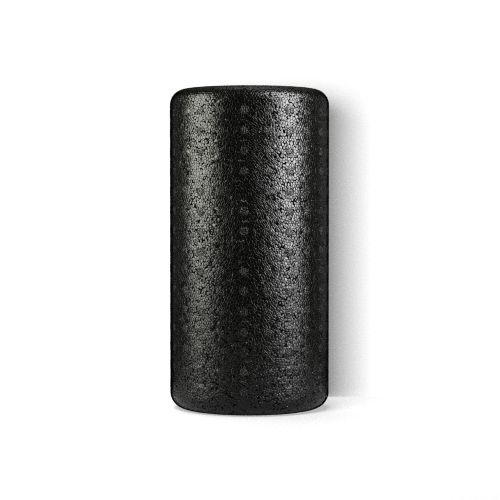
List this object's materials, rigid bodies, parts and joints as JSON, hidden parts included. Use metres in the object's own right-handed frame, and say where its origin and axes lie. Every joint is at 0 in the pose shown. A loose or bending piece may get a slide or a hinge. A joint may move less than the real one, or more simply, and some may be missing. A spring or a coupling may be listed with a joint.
{
  "type": "foam roller",
  "caption": "Solid black bead-foam massage roller: a plain moulded cylinder with rounded shoulders and flat ends, standing on its end",
  "frame": {"origin": "centre of the flat end that the roller stands on", "axes": "+Z along the roller's axis, from the end that it stands on to the other end; +X and +Y are alike, and -Y faces the viewer"},
  "size_m": [0.1524, 0.1524, 0.3048],
  "materials": {
    "bead_foam": "steam-moulded bead foam skin, half dull, with fused beads 2 to 4 mm across, fine pits between them and raised vent marks"
  },
  "bodies": {
    "root": {"foam_body": "bead_foam"}
  },
  "joints": []
}
